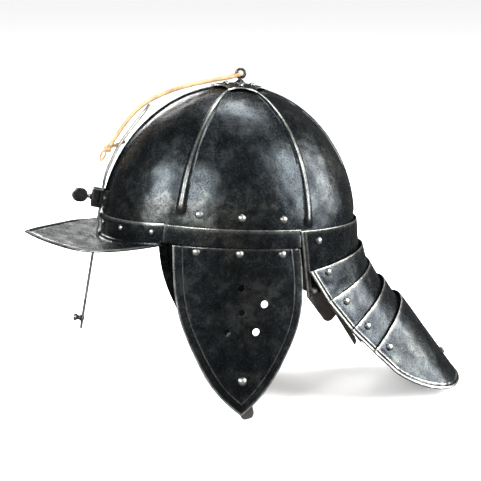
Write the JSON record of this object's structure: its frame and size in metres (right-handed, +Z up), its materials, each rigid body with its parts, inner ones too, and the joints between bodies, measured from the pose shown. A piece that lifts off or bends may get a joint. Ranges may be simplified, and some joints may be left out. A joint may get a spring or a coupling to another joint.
{
  "type": "lobster-tailed helmet",
  "caption": "Ribbed steel horseman's helmet with a pointed peak, sliding nasal bar, hinged cheek plates and an articulated neck guard.",
  "frame": {"origin": "Centre of the head opening, in the plane of the skull's rim at its middle.", "axes": "+Z up, -Y to the front of the helmet, +X to the wearer's left."},
  "size_m": [0.2126, 0.404, 0.3],
  "materials": {
    "blackened_steel": "blackened and worn, satin",
    "bright_rivet": "worn bright, domed",
    "dark_leather": "old dark leather",
    "liner_leather": "brown leather",
    "tan_leather": "tan rawhide thong"
  },
  "bodies": {
    "skull": {"skull": "blackened_steel", "peak": "blackened_steel", "peak_rivets": "blackened_steel", "side_band_left": "blackened_steel", "side_band_right": "blackened_steel", "crown_rosette": "blackened_steel", "rosette_rivets": "blackened_steel", "finial_eye": "blackened_steel", "nasal_bracket": "blackened_steel", "bracket_rivets": "blackened_steel", "skull_hinge_rivets_left": "bright_rivet", "skull_hinge_rivets_right": "bright_rivet", "lame_1": "blackened_steel", "lame_1_rivets": "bright_rivet", "neck_leather_1": "dark_leather", "liner_band": "liner_leather", "liner_crown": "liner_leather", "cheek_leather_left": "dark_leather", "cheek_leather_right": "dark_leather"},
    "nasal_bar": {"nasal_bar": "blackened_steel", "nasal_knob": "blackened_steel", "thong": "tan_leather", "thong_knot": "tan_leather"},
    "wing_screw": {"wing_screw": "blackened_steel"},
    "cheek_left": {"cheek_plate_left": "blackened_steel", "cheek_hinge_rivets_left": "bright_rivet", "cheek_tip_rivet_left": "bright_rivet", "chin_strap_left": "dark_leather"},
    "cheek_right": {"cheek_plate_right": "blackened_steel", "cheek_hinge_rivets_right": "bright_rivet", "cheek_tip_rivet_right": "bright_rivet", "chin_strap_right": "dark_leather"},
    "lame_2": {"lame_2": "blackened_steel", "lame_2_rivets": "bright_rivet", "neck_leather_2": "dark_leather"},
    "lame_3": {"lame_3": "blackened_steel", "lame_3_rivets": "bright_rivet", "neck_leather_3": "dark_leather"},
    "lame_4": {"lame_4": "blackened_steel", "lame_4_rivets": "bright_rivet", "neck_leather_4": "dark_leather"},
    "lame_5": {"lame_5": "blackened_steel", "lame_5_rivets": "bright_rivet", "tail_rivet": "bright_rivet"}
  },
  "joints": [
    {"name": "nasal_slide", "type": "slide", "parent": "skull", "child": "nasal_bar", "axis": [0, 0.17, 0.9854], "range_m": [0, 0.055], "deforming": ["thong"]},
    {"name": "wing_screw_turn", "type": "hinge", "parent": "skull", "child": "wing_screw", "pos_m": [0, -0.1147, 0.03], "axis": [0, -0.9854, 0.17], "range_deg": [-180, 180]},
    {"name": "cheek_left_swing", "type": "hinge", "parent": "skull", "child": "cheek_left", "pos_m": [0.096, -0.00006, -0.0012], "axis": [0, -0.9986, 0.0523], "range_deg": [-3, 60], "deforming": ["cheek_leather_left"]},
    {"name": "cheek_right_swing", "type": "hinge", "parent": "skull", "child": "cheek_right", "pos_m": [-0.096, -0.00006, -0.0012], "axis": [0, 0.9986, -0.0523], "range_deg": [-3, 60], "deforming": ["cheek_leather_right"]},
    {"name": "lame_2_lift", "type": "hinge", "parent": "skull", "child": "lame_2", "pos_m": [0, 0.08077, -0.02829], "axis": [1, 0, 0], "range_deg": [0, 6]},
    {"name": "lame_3_lift", "type": "hinge", "parent": "lame_2", "child": "lame_3", "pos_m": [0, 0.09808, -0.05604], "axis": [1, 0, 0], "range_deg": [0, 3.5]},
    {"name": "lame_4_lift", "type": "hinge", "parent": "lame_3", "child": "lame_4", "pos_m": [0, 0.11833, -0.08016], "axis": [1, 0, 0], "range_deg": [0, 3.5]},
    {"name": "lame_5_lift", "type": "hinge", "parent": "lame_4", "child": "lame_5", "pos_m": [0, 0.13908, -0.10078], "axis": [1, 0, 0], "range_deg": [0, 3.5]}
  ]
}
